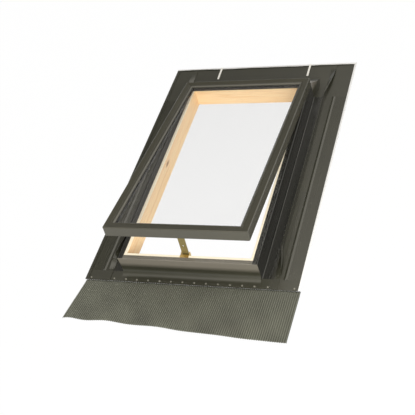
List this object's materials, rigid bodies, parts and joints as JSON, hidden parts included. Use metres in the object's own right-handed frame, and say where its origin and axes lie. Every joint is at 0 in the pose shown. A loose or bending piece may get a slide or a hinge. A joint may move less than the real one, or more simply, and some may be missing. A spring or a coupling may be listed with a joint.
{
  "type": "roof skylight",
  "caption": "Small top-hung roof skylight: pine box frame in folded metal flashing with a pleated apron, glazed metal sash standing ajar on a perforated stay bar.",
  "frame": {"origin": "middle of the four fixing holes, on the underside of the pine frame", "axes": "+X across the roof to the right as seen from below the window, +Y up the slope, +Z outward from the roof"},
  "size_m": [0.72, 1.2022, 0.2045],
  "materials": {
    "pine": "satin lacquer",
    "coated_sheet": "dark satin coil coating",
    "sash_coating": "dark satin powder coating",
    "plain_aluminium": "mill",
    "glass": "clear",
    "seal_rubber": "matt",
    "apron": "matt coated",
    "zinc_steel": "zinc plated",
    "rivet_aluminium": "plain",
    "brass": "satin",
    "bronze_finish": "bronze passivated"
  },
  "bodies": {
    "frame": {"frame_head": "pine", "frame_sill": "pine", "frame_side_left": "pine", "frame_side_right": "pine", "front_flashing": "coated_sheet", "head_flashing": "coated_sheet", "side_flashing_left": "coated_sheet", "side_flashing_right": "coated_sheet", "pleated_apron": "apron", "apron_rivets": "rivet_aluminium", "hinge_frame_leaf_left": "zinc_steel", "hinge_frame_leaf_right": "zinc_steel", "hinge_pin_left": "zinc_steel", "hinge_pin_right": "zinc_steel", "hinge_screws": "zinc_steel", "sill_bracket": "brass", "sill_bracket_screws": "brass", "holding_clip_left": "rivet_aluminium", "holding_clip_right": "rivet_aluminium"},
    "sash": {"sash_rail_bottom": "sash_coating", "sash_rail_top": "sash_coating", "sash_stile_left": "sash_coating", "sash_stile_right": "sash_coating", "corner_keys": "plain_aluminium", "outer_pane": "glass", "inner_pane": "glass", "spacer_frame": "plain_aluminium", "outer_gasket": "seal_rubber", "inner_tape": "seal_rubber", "sash_seal": "seal_rubber", "hinge_sash_leaf_left": "zinc_steel", "hinge_sash_leaf_right": "zinc_steel", "stay_bracket": "bronze_finish", "stay_pivot_pin": "zinc_steel"},
    "stay": {"stay_bar": "bronze_finish"}
  },
  "joints": [
    {"name": "sash_hinge", "type": "hinge", "parent": "frame", "child": "sash", "pos_m": [0, 0.398, 0.075], "axis": [-1, 0, 0], "range_deg": [-7.8, 70]},
    {"name": "stay_pivot", "type": "hinge", "parent": "sash", "child": "stay", "pos_m": [-0.008, -0.3566, 0.16625], "axis": [1, 0, 0], "range_deg": [0, 80]}
  ]
}
